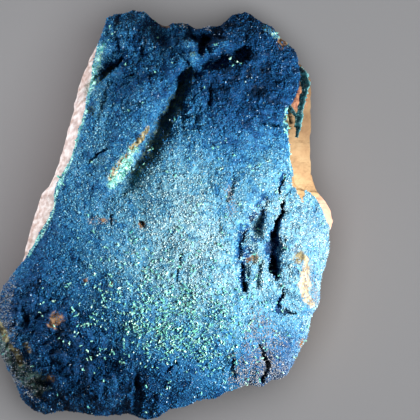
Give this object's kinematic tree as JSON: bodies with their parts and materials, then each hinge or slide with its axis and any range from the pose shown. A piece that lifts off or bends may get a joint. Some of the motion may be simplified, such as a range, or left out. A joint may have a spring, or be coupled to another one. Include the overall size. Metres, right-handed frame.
{
  "type": "cornetite crystal specimen",
  "caption": "Hand-sized slab of pale siltstone whose broken face carries a crust of tiny deep blue cornetite crystals; the flat back is the resting face.",
  "frame": {"origin": "under the middle of the outline, on the plane the flat back rests on", "axes": "+Z out of the crusted face, +Y up that face towards its narrow end, +X to its right"},
  "size_m": [0.0672, 0.0816, 0.0319],
  "materials": {
    "siltstone": "matte",
    "cornetite": "satin"
  },
  "bodies": {
    "root": {"host_rock": "siltstone", "cornetite_crust": "cornetite"}
  },
  "joints": []
}
